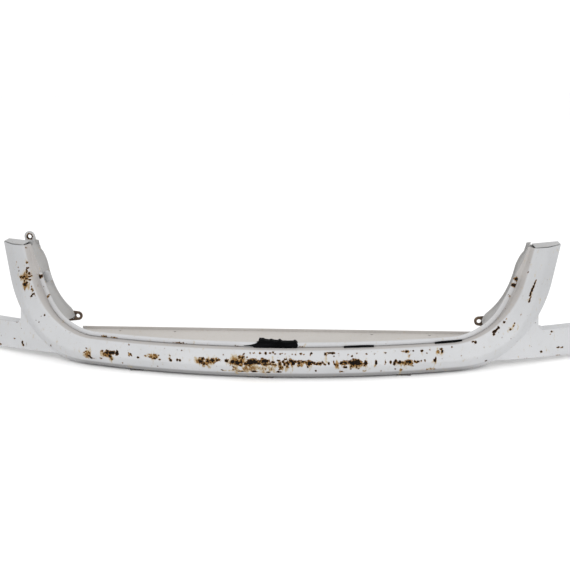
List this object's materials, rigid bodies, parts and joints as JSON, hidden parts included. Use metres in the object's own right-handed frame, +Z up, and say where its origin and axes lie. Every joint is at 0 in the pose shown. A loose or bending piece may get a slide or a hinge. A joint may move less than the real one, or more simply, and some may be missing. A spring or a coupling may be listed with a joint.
{
  "type": "body end panel",
  "caption": "U-shaped pressed-steel body end panel: bowed lower beam, two leaning posts round a wide opening, wings under the lamp notches, rusty white paint.",
  "frame": {"origin": "middle of the bottom of the panel, on the ground it stands on", "axes": "+X to the panel's right seen from the front, -Y to the front, +Z up"},
  "size_m": [1.4, 0.2556, 0.2489],
  "materials": {
    "white_paint": "satin",
    "cream_paint": "satin",
    "grey_paint": "satin",
    "bare_rusty_steel": "matte",
    "black_rubber": "matte",
    "dark_zinc": "satin"
  },
  "bodies": {
    "root": {"outer_skin": "white_paint", "seal_flange": "white_paint", "inner_panel": "cream_paint", "rear_wall": "cream_paint", "lower_closing_plate": "grey_paint", "left_lamp_flange": "white_paint", "right_lamp_flange": "white_paint", "left_post_back": "grey_paint", "right_post_back": "grey_paint", "left_post_cap": "white_paint", "right_post_cap": "white_paint", "left_gusset": "grey_paint", "right_gusset": "grey_paint", "left_upper_tab": "grey_paint", "left_lower_tab": "bare_rusty_steel", "right_lower_tab": "bare_rusty_steel", "left_wing_rail": "grey_paint", "right_wing_rail": "grey_paint", "left_fender_flange": "white_paint", "right_fender_flange": "white_paint", "left_bumper_plate": "bare_rusty_steel", "right_bumper_plate": "bare_rusty_steel", "weld_nuts": "dark_zinc", "seal_remnant_centre": "black_rubber", "seal_strip_middle": "black_rubber", "seal_strip_right": "black_rubber", "clip_nuts": "dark_zinc"}
  },
  "joints": []
}
